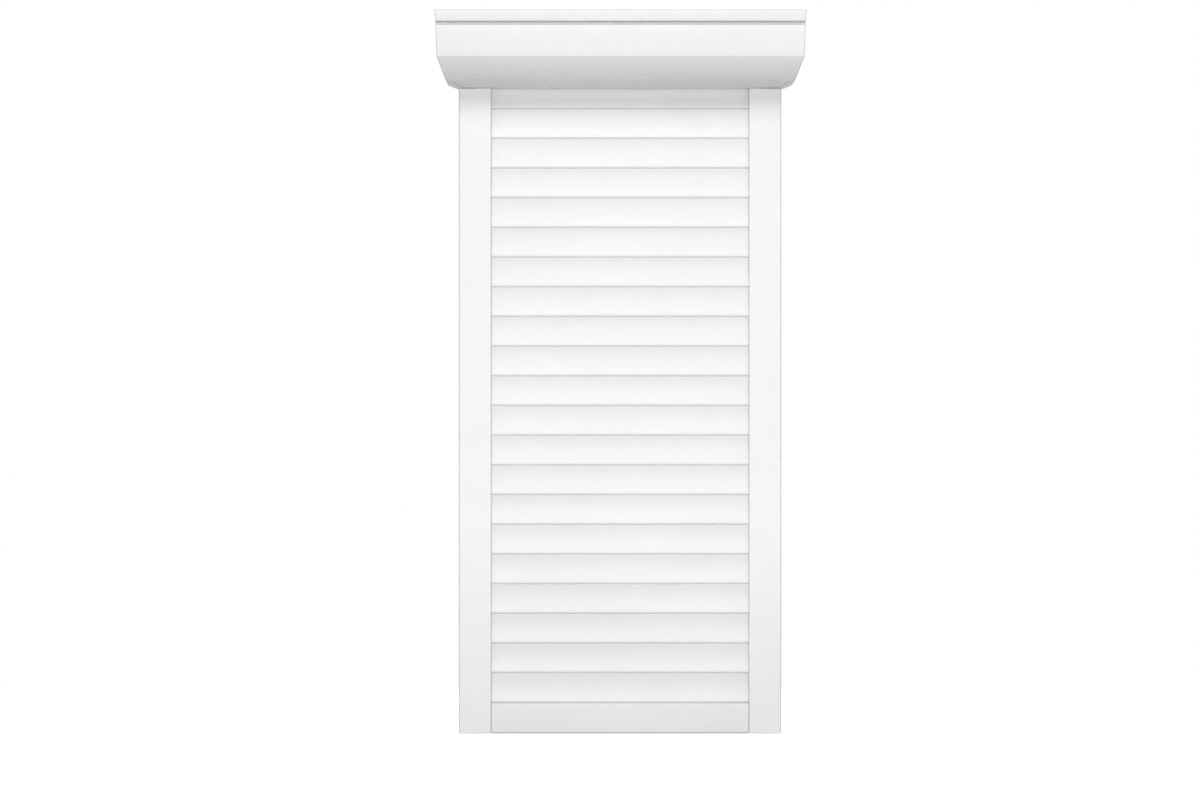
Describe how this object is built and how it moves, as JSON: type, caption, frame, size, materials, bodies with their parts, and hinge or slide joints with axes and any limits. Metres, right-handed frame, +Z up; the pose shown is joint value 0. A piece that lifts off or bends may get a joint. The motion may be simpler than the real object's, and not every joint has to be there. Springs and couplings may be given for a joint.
{
  "type": "exterior roller shutter",
  "caption": "Front-mounted exterior roller shutter: white slat curtain in two guide rails, rolled by a motor tube in a flared box above.",
  "frame": {"origin": "centre of the rectangle of outer wall screws, on the wall plane, halfway up the guide rails", "axes": "+Z up, X across the shutter, the wall is at Y = 0 and the front faces -Y"},
  "size_m": [1.016, 0.205, 1.996],
  "materials": {
    "slat_white": "satin white coated aluminium",
    "rail_white": "satin white coated aluminium",
    "box_white": "satin white coated sheet",
    "cap_white": "satin white coated sheet",
    "brush_grey": "dense grey pile",
    "foot_plastic": "white moulded plastic",
    "guide_plastic": "pale moulded plastic",
    "galvanised_steel": "galvanised sheet steel",
    "bright_steel": "bright steel",
    "motor_paint": "dark grey coated steel tube",
    "seal_rubber": "grey rubber",
    "black_plastic": "black moulded plastic"
  },
  "bodies": {
    "frame": {"guide_rail_left": "rail_white", "guide_rail_right": "rail_white", "rail_cover_left": "rail_white", "rail_cover_right": "rail_white", "brush_seal_left": "brush_grey", "brush_seal_right": "brush_grey", "rail_foot_left": "foot_plastic", "rail_foot_right": "foot_plastic", "entry_funnel_left": "guide_plastic", "entry_funnel_right": "guide_plastic", "roof_back_panel": "box_white", "front_cover": "box_white", "bottom_panel": "box_white", "end_cap_left": "cap_white", "end_cap_right": "cap_white", "side_plate_left": "galvanised_steel", "side_plate_right": "galvanised_steel", "cover_screws": "bright_steel", "bearing_outer": "black_plastic", "motor_bracket": "galvanised_steel", "motor_head": "black_plastic", "motor_tube": "motor_paint", "motor_clip": "bright_steel", "cable_grommet": "seal_rubber"},
    "curtain": {"slat_01": "slat_white", "slat_02": "slat_white", "slat_03": "slat_white", "slat_04": "slat_white", "slat_05": "slat_white", "slat_06": "slat_white", "slat_07": "slat_white", "slat_08": "slat_white", "slat_09": "slat_white", "slat_10": "slat_white", "slat_11": "slat_white", "slat_12": "slat_white", "slat_13": "slat_white", "slat_14": "slat_white", "slat_15": "slat_white", "slat_16": "slat_white", "slat_17": "slat_white", "slat_18": "slat_white", "slat_19": "slat_white", "slat_20": "slat_white", "slat_21": "slat_white", "bottom_slat": "slat_white", "bottom_seal": "seal_rubber", "end_locks_left": "guide_plastic", "end_locks_right": "guide_plastic"},
    "top_slat": {"slat_00": "slat_white", "hanger_straps": "bright_steel"},
    "tube": {"octagonal_tube": "galvanised_steel", "idler_capsule": "black_plastic", "idler_pin": "bright_steel", "bearing_inner": "black_plastic", "crown_ring": "black_plastic", "drive_wheel": "black_plastic", "strap_clips": "black_plastic"}
  },
  "joints": [
    {"name": "curtain_lift", "type": "slide", "parent": "frame", "child": "curtain", "axis": [0, 0, 1], "range_m": [0, 0.12]},
    {"name": "top_slat_fold", "type": "hinge", "parent": "curtain", "child": "top_slat", "pos_m": [0, -0.015, 0.933], "axis": [1, 0, 0], "range_deg": [0, 45], "deforming": ["hanger_straps"]},
    {"name": "tube_turn", "type": "hinge", "parent": "frame", "child": "tube", "pos_m": [0, -0.1025, 0.998], "axis": [1, 0, 0], "range_deg": [0, 172]}
  ],
  "couplings": [
    {"joint": "top_slat_fold", "follows": "curtain_lift", "rad_per_m": 6.54},
    {"joint": "tube_turn", "follows": "curtain_lift", "rad_per_m": 25}
  ]
}
